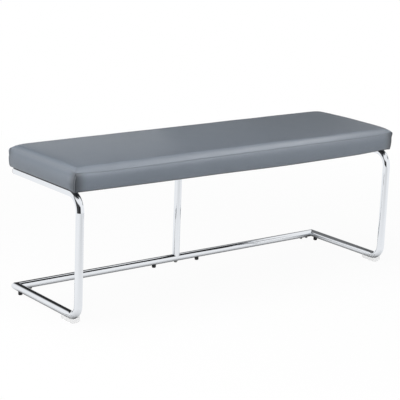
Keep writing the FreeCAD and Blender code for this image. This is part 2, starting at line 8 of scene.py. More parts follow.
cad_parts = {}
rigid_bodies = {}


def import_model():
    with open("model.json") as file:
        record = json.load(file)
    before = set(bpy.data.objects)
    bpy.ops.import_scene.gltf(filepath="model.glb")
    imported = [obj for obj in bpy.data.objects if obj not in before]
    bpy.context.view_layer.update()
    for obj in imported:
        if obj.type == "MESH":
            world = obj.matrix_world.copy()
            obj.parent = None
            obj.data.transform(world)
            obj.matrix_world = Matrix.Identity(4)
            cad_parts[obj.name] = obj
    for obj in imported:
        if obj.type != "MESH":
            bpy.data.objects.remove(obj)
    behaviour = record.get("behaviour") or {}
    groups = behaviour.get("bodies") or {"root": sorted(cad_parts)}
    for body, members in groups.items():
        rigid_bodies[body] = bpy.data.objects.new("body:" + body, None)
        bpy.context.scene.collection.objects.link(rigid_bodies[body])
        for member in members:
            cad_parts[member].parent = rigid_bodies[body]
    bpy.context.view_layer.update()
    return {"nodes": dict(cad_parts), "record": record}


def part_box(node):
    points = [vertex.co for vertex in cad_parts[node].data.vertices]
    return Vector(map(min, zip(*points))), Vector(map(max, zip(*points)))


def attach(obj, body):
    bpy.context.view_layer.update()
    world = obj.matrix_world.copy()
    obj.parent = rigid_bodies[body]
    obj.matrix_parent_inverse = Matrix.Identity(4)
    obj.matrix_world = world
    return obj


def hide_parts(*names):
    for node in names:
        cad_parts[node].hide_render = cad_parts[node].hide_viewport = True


# Upholstered bench: a leather seat cushion on chromed tube frames. Metres, +Z up, the front faces -Y.

for item in list(bpy.data.objects):
    bpy.data.objects.remove(item)
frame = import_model()
NODES = frame["nodes"]
SUBPARTS = frame["record"]["subparts"]
BODY = "root"
MM = 0.001

# Seat form: the sizes of the solids
SEAT_LOW, SEAT_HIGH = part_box("seat_cover")
SEAT_Y = (SEAT_LOW.y + SEAT_HIGH.y) / 2
HALF_LENGTH = 650 * MM
HALF_DEPTH = 192 * MM
SEAT_BOTTOM = 412 * MM
SEAT_TOP = 481 * MM
SEAT_HEIGHT = SEAT_TOP - SEAT_BOTTOM
TOP_CROWN = 4 * MM
END_CROWN = 2.5 * MM
SIDE_DRAW = 2 * MM
SIDE_BULGE = 2 * MM

# Seat form: the cushion's own fullness, sag and roundings
FRONT_BULGE = 5 * MM
REAR_BULGE = 3 * MM
END_BULGE = 4.5 * MM
SIDE_SHARPNESS = 8
END_SHARPNESS = 16
END_BULGE_EASE = 0.4
CROWN_LEVELS = (0.7, 1)
FRONT_DROP = 4 * MM
FRONT_BELLY = 5 * MM
BELLY_WIDTH = 24 * MM
HEM_SAG = 3.4 * MM
HEM_SAG_PLACES = (-150 * MM, 220 * MM, 480 * MM, 640 * MM)
TOP_ROUND_IN = 15 * MM
TOP_ROUND_DOWN = 32 * MM
END_ROUND_IN = 19 * MM
END_ROUND_DOWN = 52 * MM
END_ROUND_BLEND = 8 * MM
BOTTOM_ROUND = 11 * MM
END_BOTTOM_ROUND = 5 * MM
CORNER_ROUND = 5 * MM

# Lines of the cushion's grid: distances from an edge, an even step, and heights from the bottom
FINE_STEPS = [d * MM for d in (0, 1.5, 3, 4.5, 6, 7.5, 9, 10.5, 12, 14, 15.7, 17.5, 20, 22.5, 26,
                               30, 35, 41, 48)]
EVEN_STEP = 13 * MM
HEIGHT_LINES = [d * MM for d in (0, 2.7, 5.3, 8, 13.5, 19, 25, 31, 37, 42, 46, 49.5, 51.8, 53, 53.6,
                                 54, 54.4, 55, 56.2, 58, 60.5, 63, 66, 69)]

# Cushion simulation
START_INSET = 3 * MM
SWELL_CAP = 3 * MM
SWELL_FADE = 20 * MM
SIM_FRAMES = 20
EVEN_ROUNDS = 150
CLOTH = {
    "quality": 5,
    "mass": 0.4,
    "tension_stiffness": 30,
    "compression_stiffness": 30,
    "shear_stiffness": 15,
    "bending_stiffness": 2,
    "use_pressure": True,
    "uniform_pressure_force": 4.0,
}

# Seam along the upper edges, on the faces that stand upright
EDGE_SEAM_LEVEL = 51 * MM
EDGE_SEAM_RISE = 10 * MM
EDGE_SEAM_RISE_REACH = 38 * MM
EDGE_SEAM_WIDTH = 1.2 * MM
EDGE_SEAM_DEPTH = 0.65 * MM
EDGE_SEAM_END_SHARE = 0.35
UPRIGHT_SLOPES = (0.9, 0.5)

# Seams down the corners, a tuck beside each on the end, and how far they draw the faces in
SEAM_FADE_ABOVE = 5 * MM
SEAM_FADE_BELOW = 4 * MM
SEAM_FOOT_LEVELS = (-0.3, -0.05)
SEAM_RUN = -1 * MM
SEAM_WIDTH = 2.2 * MM
SEAM_DEPTH = 2.5 * MM
TUCK_RUN = 9 * MM
TUCK_WIDTH = 1.4 * MM
TUCK_SHARE = 0.5
LONG_DRAW = 4 * MM
LONG_DRAW_REACH = 24 * MM
END_DRAW = 3 * MM
END_DRAW_REACH = 18 * MM
REAR_DRAW_SHARE = 0.2

# Upper corners: small ears, a drop at each corner and a slope towards each end
EAR_LEVELS = (0.55, 0.8)
EAR_REACH = 13 * MM
EAR_OUT = 3 * MM
EAR_UP = 2 * MM
UPPER_LEVELS = (0.3, 1)
CORNER_DROP = 1.5 * MM
CORNER_DROP_REACH = 25 * MM
LEFT_SLOPE = 3 * MM
RIGHT_SLOPE = 1 * MM
END_SLOPE_REACH = 28 * MM

# Unevenness and wear of the cover, and its painted shade by the seams and on the downward faces
UNEVEN = 0.45 * MM
UNEVEN_SCALE = 11.0
UNEVEN_SLOPES = (-0.5, 0)
WEAR_LEVEL = 0.9
WEAR_SPREAD = 0.2
WEAR_REACH = 17 * MM
# painted shade on the cover's downward faces: where it begins and where it is full
PAINTED_UNDERSIDE_SLOPES = (-0.5, -0.9)
EDGE_SEAM_SHADE = 0.22
LONG_DRAW_SHADE = 1.1
END_DRAW_SHADE = 0.75

# Lining
LINING_COLUMNS = 308
LINING_ROWS = 79
LINING_REST = 0.15 * MM
LINING_SAG = 3 * MM
LINING_SAG_REACH = 70 * MM
LINING_SWELL = 0.5
LINING_SWELL_SCALE = 6
LINING_PUCKER = 1.2 * MM
PUCKER_REACH = 26 * MM
PUCKER_EDGE = (-4 * MM, 8 * MM)
STAPLE_PITCH = 100 * MM
STAPLE_PHASE = 0.5
END_STAPLE_PITCH = 55 * MM
END_STAPLE_PHASE = 0.25
PRESSED_REACH = (2 * MM, 45 * MM)
PRESSED_BY = ("left_front_tab", "left_rear_tab", "right_front_tab", "right_rear_tab", "centre_leg_plate")

# Surroundings
SHOWN_RAYS = ("Is Camera Ray", "Is Glossy Ray", "Is Transmission Ray")
WORLD_LIGHT = 0.08
WORLD_SHOWN = 1.0
FLOOR_REACH = 14.0
FLOOR_GLOW = 0.95
FLOOR_GLOW_REACH = (0.9, 2.4)
# Painted contact shade and a painted shadow patch on the floor's glow, seen only in mirrors
CONTACT_SAMPLES = 8
CONTACT_REACH = 0.1
CONTACT_OPEN = (0.4, 1.0)
CONTACT_SHADE = 0.08
PAINTED_SHADOW_PATCH = (-0.3, -1.5, 0)
PAINTED_SHADOW_REACH = (0.2, 1.5)
PAINTED_SHADOW_GLOW = 0.76
STUDIO_CENTRE = Vector((0, 0, 0.3))

# Lamps: azimuth, elevation, distance, width, depth, watts, and the kind of light that one lacks
LAMPS = {
    "key_right": (148, 12, 3.4, 2.6, 1.2, 47.0, "glossy"),
    "sheen_right": (138, 28, 3.0, 2.4, 0.6, 26.0, "diffuse"),
    "high_right": (170, 40, 3.4, 1.8, 1.0, 3.0),
    "left_front": (-120, 30, 2.6, 2.0, 1.3, 28.0),
    "left_low": (-75, 5, 2.6, 1.8, 0.9, 14.0),
    "front_low": (-150, 5, 2.6, 1.6, 0.9, 8.0),
    "overhead": (-60, 74, 2.4, 1.6, 1.2, 29.0),
}
CUSHION_LAMPS = {"rear_low": (24, 15, 3.4, 2.2, 0.5, 2.6)}

# Cards: centre, distance, azimuths, elevations, cover, brightness, and the fades at the sides,
# the lower edge and the upper edge in degrees
FRAME_X = 631 * MM
FRAME_Y = 185 * MM
FAR = (STUDIO_CENTRE, 6.0)
RIGHT_FRAME = Vector((FRAME_X, 0, 0))
LEFT_LEG = Vector((-FRAME_X, -FRAME_Y, 0))
RIGHT_LEG = Vector((FRAME_X, -FRAME_Y, 0))
RAIL_SPOT = Vector((0.2, FRAME_Y, 0))
DARK = 0.01
HAZY = 0.2
CARDS = {
    "card_rear": (*FAR, (-35, 60), (0, 62), 0.98, DARK, (21, 12, 8)),
    "card_rear_low": (*FAR, (22, 88), (0, 28), 0.4, DARK, (14, 0, 8)),
    "haze_right": (RIGHT_FRAME, 0.9, (-48, 48), (20, 56), 0.85, HAZY, (14, 6, 6)),
    "card_left": (*FAR, (-98, -30), (25, 62), 0.98, DARK, (12, 12, 0)),
    "card_left_front": (*FAR, (-135, -80), (44, 62), 0.98, DARK, (10, 8, 0)),
    "card_ceiling": (*FAR, (112, 312), (56, 68), 0.98, DARK, (10, 8, 0)),
    "card_zenith": (*FAR, (-180, 180), (62, 90), 0.98, DARK, (0, 6, 0)),
    "card_low_left": (LEFT_LEG, 1.45, (-158, -58), (0, 46), 0.95, DARK, (12, 0, 12)),
    "card_over_rail": (RAIL_SPOT, 1.5, (68, 100), (44, 64), 0.9, DARK, (8, 5, 5)),
    "card_past_rail": (RAIL_SPOT, 1.5, (116, 141), (28, 39), 0.95, DARK, (6, 3, 3)),
    "card_low_front": (RIGHT_LEG, 2.4, (-145, -108), (0, 27), 0.95, DARK, (8, 0, 7)),
}
CARD_LINES = 48
CARD_HIDDEN_FROM = ("camera", "diffuse", "transmission", "volume_scatter", "shadow")

# Camera fitted to the photograph
FOCAL_PIXELS = 1387.62
IMAGE_PIXELS = 400
SENSOR = 36.0
CAMERA_REACH = 100.0
EYE = Vector((-2.7816, -3.4915, 1.4064))
YAW = math.radians(38.136)
PITCH = math.radians(14.335)
ROLL = math.radians(-2.314)


def smooth_step(value, low, high):
    """From 0 at low to 1 at high, which may lie below it."""
    share = np.clip((value - low) / (high - low), 0, 1)
    return share * share * (3 - 2 * share)


# Materials

WHOLE = (0.0, 1.0)
NOISE_MIDDLE = (0.3, 0.7)


def rgb(red, green, blue):
    return (red, green, blue, 1.0)


WHITE = rgb(1, 1, 1)


class Nodes:
    """A node tree built up from calls. Values are plugged in as constants or as links."""

    def __init__(self, tree):
        self.tree = tree
        self.tree.nodes.clear()
        self.coordinates = None

    def node(self, kind, settings=None, **sockets):
        item = self.tree.nodes.new(f"ShaderNode{kind}")
        for name, value in (settings or {}).items():
            setattr(item, name, value)
        for name, value in sockets.items():
            self.plug(item, name.replace("_", " "), value)
        return item

    def connect(self, socket, value):
        if isinstance(value, bpy.types.NodeSocket):
            self.tree.links.new(value, socket)
        else:
            socket.default_value = value

    def plug(self, item, name, value):
        self.connect(next(s for s in item.inputs if s.name == name and s.enabled), value)

    def place(self, stretch=(1, 1, 1)):
        """The object's own coordinates in metres, stretched per axis."""
        if self.coordinates is None:
            self.coordinates = self.node("TexCoord").outputs["Object"]
        if stretch == (1, 1, 1):
            return self.coordinates
        return self.node("Mapping", Vector=self.coordinates, Scale=stretch).outputs["Vector"]

    def noise(self, scale, detail=2.0, rough=0.5, stretch=(1, 1, 1)):
        item = self.node("TexNoise", Vector=self.place(stretch), Scale=scale, Detail=detail, Roughness=rough)
        return item.outputs["Fac"]

    def ramp(self, value, source, target):
        """Takes the source range to the target range, and stays inside it."""
        item = self.node("MapRange", Value=value, From_Min=source[0], From_Max=source[1],
                         To_Min=target[0], To_Max=target[1])
        return item.outputs["Result"]

    def math(self, operation, first, second):
        item = self.node("Math", {"operation": operation})
        self.connect(item.inputs[0], first)
        self.connect(item.inputs[1], second)
        return item.outputs["Value"]

    def vector_math(self, operation, output, *values, **sockets):
        item = self.node("VectorMath", {"operation": operation}, **sockets)
        for socket, value in zip(item.inputs, values):
            self.connect(socket, value)
        return item.outputs[output]

    def blend(self, share, first, second):
        """Colour from first to second by share."""
        item = self.node("Mix", {"data_type": "RGBA"})
        for name, value in (("Factor", share), ("A", first), ("B", second)):
            self.plug(item, name, value)
        return next(s for s in item.outputs if s.enabled)

    def mix(self, share, first, second):
        """Shader from first to second by share."""
        item = self.node("MixShader", Fac=share)
        self.connect(item.inputs[1], first)
        self.connect(item.inputs[2], second)
        return item.outputs["Shader"]

    def bump(self, height, strength, distance, under=None):
        item = self.node("Bump", Height=height, Strength=strength, Distance=distance)
        if under is not None:
            self.plug(item, "Normal", under)
        return item.outputs["Normal"]

    def attribute(self, name):
        return self.node("Attribute", {"attribute_name": name}).outputs["Fac"]

    def seen_directly(self):
        """1 for the rays that show the surroundings, 0 for those that only carry their light."""
        path = self.node("LightPath").outputs
        first, *others = SHOWN_RAYS
        total = path[first]
        for name in others:
            total = self.math("MAXIMUM", total, path[name])
        return total


class Surface(Nodes):
    """A material built up from calls."""

    def __init__(self, name):
        self.material = bpy.data.materials.new(name)
        self.material.use_nodes = True
        super().__init__(self.material.node_tree)

    def show(self, shader):
        self.node("OutputMaterial", Surface=shader)
        return self.material

    def finish(self, **sockets):
        return self.show(self.node("BsdfPrincipled", **sockets).outputs["BSDF"])


def leather_material():
    """Blue-grey leather: fine pebbled grain, a broad mottle, paler worn edges, dark seam lines that are
    partly painted shade, painted shade beside the corner seams, and painted shade on the downward faces.
    """
    s = Surface("leather")
    warp = s.node("TexNoise", Vector=s.place(), Scale=160.0, Detail=2.0).outputs["Color"]
    drift = s.vector_math("SCALE", "Vector", warp, Scale=0.004)
    bent = s.vector_math("ADD", "Vector", s.place(), drift)
    grain = s.node("TexVoronoi", {"feature": "DISTANCE_TO_EDGE"}, Vector=bent, Scale=520.0)
    pebbles = s.ramp(grain.outputs["Distance"], (0.0, 0.22), WHOLE)
    pores = s.noise(scale=2600.0, detail=2.0)
    mottle = s.noise(scale=7.0, detail=4.0, rough=0.6)
    worn = s.math("MULTIPLY", s.attribute("wear"), 0.25)
    # painted shade: the seam layer darkens the seam lines and the faces drawn in beside the corner seams, as
    # shade would
    sewn = s.math("MULTIPLY", s.attribute("seams_and_painted_shade"), 0.8)
    # painted shade on the faces that turn downwards, which also get rougher
    painted_underside_shade = s.attribute("painted_underside_shade")
    tone = s.blend(mottle, rgb(0.164, 0.194, 0.234), rgb(0.206, 0.239, 0.284))
    tone = s.blend(s.ramp(pebbles, WHOLE, (0.22, 0.0)), tone, rgb(0.07, 0.082, 0.098))
    tone = s.blend(worn, tone, rgb(0.34, 0.37, 0.41))
    # painted shade: near-black along the seams and beside the corner seams
    tone = s.blend(sewn, tone, rgb(0.018, 0.021, 0.026))
    # painted shade: near-black on the downward faces
    tone = s.blend(s.math("MULTIPLY", painted_underside_shade, 0.9), tone, rgb(0.012, 0.013, 0.015))
    rough = s.math("ADD", s.ramp(mottle, NOISE_MIDDLE, (0.36, 0.44)), s.ramp(pebbles, WHOLE, (0.08, 0.0)))
    rough = s.math("ADD", rough, s.math("MULTIPLY", painted_underside_shade, 0.4))
    normal = s.bump(pores, strength=0.12, distance=0.15 * MM)
    normal = s.bump(pebbles, strength=0.22, distance=0.3 * MM, under=normal)
    return s.finish(Base_Color=tone, Roughness=rough, Normal=normal, Specular_IOR_Level=0.4,
                    Coat_Weight=0.34, Coat_Roughness=0.22)


def chrome_material():
    """Polished chrome with a faint cloudy polish and hair-fine rubbing marks."""
    s = Surface("chrome")
    cloud = s.noise(scale=14.0, detail=3.0)
    hair = s.noise(scale=420.0, detail=2.0, stretch=(0.35, 1.0, 1.0))
    rough = s.math("ADD", s.ramp(cloud, NOISE_MIDDLE, (0.02, 0.04)), s.ramp(hair, (0.4, 0.7), (0.0, 0.015)))
    tone = s.blend(cloud, rgb(0.785, 0.81, 0.845), rgb(0.825, 0.85, 0.885))
    normal = s.bump(s.noise(scale=90.0, detail=1.0), strength=0.02, distance=0.2 * MM)
    return s.finish(Base_Color=tone, Metallic=1.0, Roughness=rough, Normal=normal)


def zinc_material():
    """Zinc-plated steel with a spangled, slightly yellow passivation."""
    s = Surface("zinc")
    spangle = s.node("TexVoronoi", Vector=s.place(), Scale=450.0).outputs["Color"]
    patch = s.node("RGBToBW", Color=spangle).outputs["Val"]
    cloud = s.noise(scale=60.0, detail=3.0)
    tone = s.blend(cloud, rgb(0.56, 0.57, 0.58), rgb(0.66, 0.655, 0.62))
    rough = s.math("ADD", s.ramp(patch, WHOLE, (0.26, 0.40)), s.ramp(cloud, NOISE_MIDDLE, (0.0, 0.08)))
    normal = s.bump(cloud, strength=0.06, distance=0.2 * MM)
    return s.finish(Base_Color=tone, Metallic=1.0, Roughness=rough, Normal=normal)


def black_plastic_material():
    """Moulded black plastic with a fine spark-eroded skin and scuffs."""
    s = Surface("black_plastic")
    skin = s.noise(scale=1900.0, detail=2.0)
    scuff = s.noise(scale=160.0, detail=4.0, rough=0.7)
    rubbed = s.ramp(scuff, (0.45, 0.75), WHOLE)
    tone = s.blend(rubbed, rgb(0.011, 0.011, 0.012), rgb(0.035, 0.035, 0.037))
    rough = s.ramp(scuff, NOISE_MIDDLE, (0.38, 0.56))
    normal = s.bump(skin, strength=0.15, distance=0.1 * MM)
    return s.finish(Base_Color=tone, Roughness=rough, Normal=normal)


def clear_plastic_material():
    """Clear moulded plastic, milky from its thickness and hazed by handling."""
    s = Surface("clear_plastic")
    haze = s.noise(scale=120.0, detail=3.0)
    tone = s.blend(haze, rgb(0.93, 0.945, 0.955), rgb(0.975, 0.98, 0.985))
    rough = s.ramp(haze, NOISE_MIDDLE, (0.2, 0.32))
    normal = s.bump(haze, strength=0.05, distance=0.2 * MM)
    return s.finish(Base_Color=tone, Roughness=rough, Alpha=0.2, Normal=normal)


def plywood_material():
    """Raw plywood: long figure along the board and thin plies on its edges."""
    s = Surface("plywood")
    figure = s.noise(scale=30.0, detail=5.0, rough=0.65, stretch=(0.12, 1.0, 6.0))
    plies = s.node("TexWave", {"bands_direction": "Z"}, Vector=s.place(), Scale=60.0, Distortion=0.4)
    tone = s.blend(figure, rgb(0.50, 0.33, 0.17), rgb(0.70, 0.52, 0.31))
    tone = s.blend(s.math("MULTIPLY", plies.outputs["Fac"], 0.35), tone, rgb(0.40, 0.25, 0.12))
    rough = s.ramp(figure, NOISE_MIDDLE, (0.6, 0.75))
    normal = s.bump(figure, strength=0.2, distance=0.4 * MM)
    return s.finish(Base_Color=tone, Roughness=rough, Normal=normal)


def lining_material():
    """Black non-woven lining: tangled fibres pressed with a grid of small bond points."""
    s = Surface("lining")
    fibres = s.noise(scale=1400.0, detail=4.0, rough=0.7, stretch=(1.0, 0.4, 1.0))
    dots = s.node("TexVoronoi", Vector=s.place((1.0, 1.0, 0.0)), Scale=600.0, Randomness=0.15)
    bonds = s.ramp(dots.outputs["Distance"], (0.15, 0.35), WHOLE)
    cloud = s.noise(scale=25.0, detail=3.0)
    tone = s.blend(s.math("MULTIPLY", fibres, bonds), rgb(0.006, 0.006, 0.007), rgb(0.022, 0.022, 0.024))
    rough = s.ramp(cloud, NOISE_MIDDLE, (0.78, 0.92))
    normal = s.bump(fibres, strength=0.25, distance=0.2 * MM)
    normal = s.bump(bonds, strength=0.3, distance=0.2 * MM, under=normal)
    return s.finish(Base_Color=tone, Roughness=rough, Normal=normal)


# Meshes

def new_mesh(name, points, faces):
    mesh = bpy.data.meshes.new(name)
    mesh.from_pydata([tuple(p) for p in points], [], faces)
    mesh.update()
    shade_smooth(mesh)
    return mesh


def shade_smooth(mesh):
    mesh.polygons.foreach_set("use_smooth", [True] * len(mesh.polygons))


def new_object(name, data):
    item = bpy.data.objects.new(name, data)
    bpy.context.scene.collection.objects.link(item)
    return item


def vertex_points(mesh):
    points = np.zeros(len(mesh.vertices) * 3)
    mesh.vertices.foreach_get("co", points)
    return points.reshape(-1, 3)


def vertex_normals(mesh):
    normals = np.zeros(len(mesh.vertices) * 3, np.float32)
    mesh.vertex_normals.foreach_get("vector", normals)
    return normals.reshape(-1, 3).astype(float)


def set_layer(mesh, name, values):
    layer = mesh.attributes.new(name, "FLOAT", "POINT")
    layer.data.foreach_set("value", values.astype(np.float32))


def sheet_faces(columns, rows, corners):
    """Quads of a grid of points laid out row by row. Each goes round its corners, given as (right, up)."""
    faces = []
    for r in range(rows - 1):
        for c in range(columns - 1):
            faces.append([(r + up) * columns + c + right for right, up in corners])
    return faces


# Seat cushion

def grid_lines(half, step):
    """Positions from one edge to the other, close together near both edges."""
    inner = half - FINE_STEPS[-1]
    count = round(2 * inner / step)
    edge = [-half + d for d in FINE_STEPS[:-1]]
    even = [-inner + 2 * inner * k / count for k in range(count + 1)]
    return edge + even + [-v for v in reversed(edge)]


def box_grid(lines):
    """Vertices and quads on the surface of a box, on the given lines along each axis."""
    counts = [len(line) - 1 for line in lines]
    index = {}
    points = []

    def vertex(key):
        if key not in index:
            index[key] = len(points)
            points.append([line[k] for line, k in zip(lines, key)])
        return index[key]

    quads = []
    for axis in range(3):
        u, v = (axis + 1) % 3, (axis + 2) % 3
        for level in (0, counts[axis]):
            for a in range(counts[u]):
                for b in range(counts[v]):
                    corners = []
                    for da, db in ((0, 0), (1, 0), (1, 1), (0, 1)):
                        key = [0, 0, 0]
                        key[axis], key[u], key[v] = level, a + da, b + db
                        corners.append(vertex(tuple(key)))
                    quads.append(corners if level else corners[::-1])
    return np.array(points), quads


def seat_form(points, inset):
    """The cushion's form from points on a plain box: rounded, crowned, drawn in, and low along the front."""
    half_x = HALF_LENGTH - inset
    half_y = HALF_DEPTH - inset - SIDE_BULGE
    height = SEAT_HEIGHT - inset
    ax = np.abs(points[:, 0]) * half_x / HALF_LENGTH
    ay = np.abs(points[:, 1]) * half_y / HALF_DEPTH
    z = points[:, 2] * height / SEAT_HEIGHT

    # upright corners
    dx = np.maximum(ax - half_x + CORNER_ROUND, 0)
    dy = np.maximum(ay - half_y + CORNER_ROUND, 0)
    corner = (dx > 0) & (dy > 0)
    reach = np.where(corner, np.hypot(dx, dy), 1)
    shrink = np.where(corner, np.maximum(dx, dy) / reach, 1)
    out_x = np.where(corner, dx / reach, half_x - ax < half_y - ay)
    out_y = np.where(corner, dy / reach, half_x - ax >= half_y - ay)
    ax = np.where(corner, half_x - CORNER_ROUND + dx * shrink, ax)
    ay = np.where(corner, half_y - CORNER_ROUND + dy * shrink, ay)
    depth = np.where(corner, CORNER_ROUND - reach * shrink, np.minimum(half_x - ax, half_y - ay))

    # top and bottom edges, rounded from a run inwards and a rise
    at_end = smooth_step(half_y - ay - half_x + ax, -END_ROUND_BLEND, END_ROUND_BLEND)
    top_in = TOP_ROUND_IN + (END_ROUND_IN - TOP_ROUND_IN) * at_end
    top_down = TOP_ROUND_DOWN + (END_ROUND_DOWN - TOP_ROUND_DOWN) * at_end
    bottom = BOTTOM_ROUND + (END_BOTTOM_ROUND - BOTTOM_ROUND) * at_end
    rounds = ((top_in, top_down, 1, z - height + top_down), (bottom, bottom, -1, bottom - z))
    for wide, tall, up, climb in rounds:
        run = (wide - depth) / wide
        rise = climb / tall
        turning = (run > 0) & (rise > 0)
        reach = np.where(turning, np.hypot(run, rise), 1)
        pull = np.where(turning, np.maximum(run, rise) / reach - 1, 0)
        ax += out_x * run * wide * pull
        ay += out_y * run * wide * pull
        z = z + up * rise * tall * pull

    # full sides and ends, and a crowned top
    middle = 1 - (ax / half_x) ** 2
    level = z / height
    waist = 1 - (2 * level - 1) ** 2
    bulge = np.where(points[:, 1] < 0, FRONT_BULGE, REAR_BULGE)
    ay += bulge * waist * (ay / half_y) ** SIDE_SHARPNESS - SIDE_DRAW * middle * (ay / half_y) ** 2
    ease = 1 - END_BULGE_EASE * (ay / half_y) ** SIDE_SHARPNESS
    ax += END_BULGE * waist * (ax / half_x) ** END_SHARPNESS * ease
    crown = END_CROWN + (TOP_CROWN - END_CROWN) * middle
    z = z + crown * (1 - np.minimum(ay / half_y, 1) ** 2) * smooth_step(level, *CROWN_LEVELS)
    x = np.copysign(ax, points[:, 0])
    y = np.copysign(ay, points[:, 1])

    # low front hem, which sags most right of the middle
    from_front = y + half_y
    belly = np.clip(1 - (from_front - BOTTOM_ROUND) / BELLY_WIDTH, 0, 1)
    begins, full, ebbs, ends = HEM_SAG_PLACES
    sag = HEM_SAG * smooth_step(x, begins, full) * smooth_step(x, ends, ebbs)
    z = z - (FRONT_DROP + FRONT_BELLY * middle + sag) * belly * (1 - np.clip(level, 0, 1))
    return np.column_stack((x, y + SEAT_Y, z + SEAT_BOTTOM))


def inflate(item, hold):
    """Swells the cushion from inside with its hem held, and returns where its points went."""
    group = item.vertex_groups.new(name="hold")
    for k, weight in enumerate(hold):
        if weight > 0:
            group.add([k], float(weight), "REPLACE")
    cloth = item.modifiers.new("swell", "CLOTH")
    for name, value in CLOTH.items():
        setattr(cloth.settings, name, value)
    cloth.settings.vertex_group_mass = "hold"
    cloth.settings.effector_weights.gravity = 0
    cloth.collision_settings.use_collision = False
    cloth.point_cache.frame_start = 1
    cloth.point_cache.frame_end = SIM_FRAMES
    for step in range(1, SIM_FRAMES + 1):
        bpy.context.scene.frame_set(step)
    shown = item.evaluated_get(bpy.context.evaluated_depsgraph_get())
    moved = vertex_points(shown.data)
    item.modifiers.remove(cloth)
    item.vertex_groups.remove(group)
    bpy.context.scene.frame_set(1)
    return moved


def evened(values, quads):
    """Values spread over neighbouring points until no step of the grid shows."""
    faces = np.array(quads)
    pairs = np.concatenate([faces[:, (k, (k + 1) % 4)] for k in range(4)])
    count = np.bincount(pairs.ravel(), minlength=len(values))
    for _ in range(EVEN_ROUNDS):
        total = np.bincount(pairs[:, 0], values[pairs[:, 1]], len(values))
        total += np.bincount(pairs[:, 1], values[pairs[:, 0]], len(values))
        values = 0.5 * values + 0.5 * total / count
    return values


def subdivide(item):
    """Replaces an object's mesh by one subdivided once."""
    item.modifiers.new("finer", "SUBSURF").levels = 1
    shown = item.evaluated_get(bpy.context.evaluated_depsgraph_get())
    finer = bpy.data.meshes.new_from_object(shown)
    item.modifiers.clear()
    item.data = finer
    return finer


def seat_cushion():
    """The leather cushion: swelled from inside, subdivided, then sewn."""
    lines = [grid_lines(HALF_LENGTH, EVEN_STEP), grid_lines(HALF_DEPTH, EVEN_STEP), HEIGHT_LINES]
    box, quads = box_grid(lines)
    start = seat_form(box, START_INSET)
    cushion = new_object("seat_cushion", new_mesh("seat_cushion", start, quads))
    normals = vertex_normals(cushion.data)
    underside = box[:, 2] < MM
    swell = np.zeros(len(start))
    move = inflate(cushion, np.where(underside, 1.0, 0.0)) - start
    swell = np.maximum(np.einsum("ij,ij->i", move, normals), 0)
    swell = evened(swell, quads) * smooth_step(box[:, 2], 0, SWELL_FADE)
    relief = np.where(underside, 0, SWELL_CAP * np.tanh(swell / SWELL_CAP))
    full = seat_form(box, 0) + normals * relief[:, None]
    cushion.data.vertices.foreach_set("co", full.ravel())
    mesh = subdivide(cushion)
    sew(mesh)
    shade_smooth(mesh)
    mesh.materials.append(leather_material())
    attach(cushion, BODY)
    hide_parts("seat_cover", "foam_pad")
    return cushion


def groove(offset, width):
    """A bell-shaped share that is 1 where the offset is 0."""
    return np.exp(-(offset / width) ** 2)


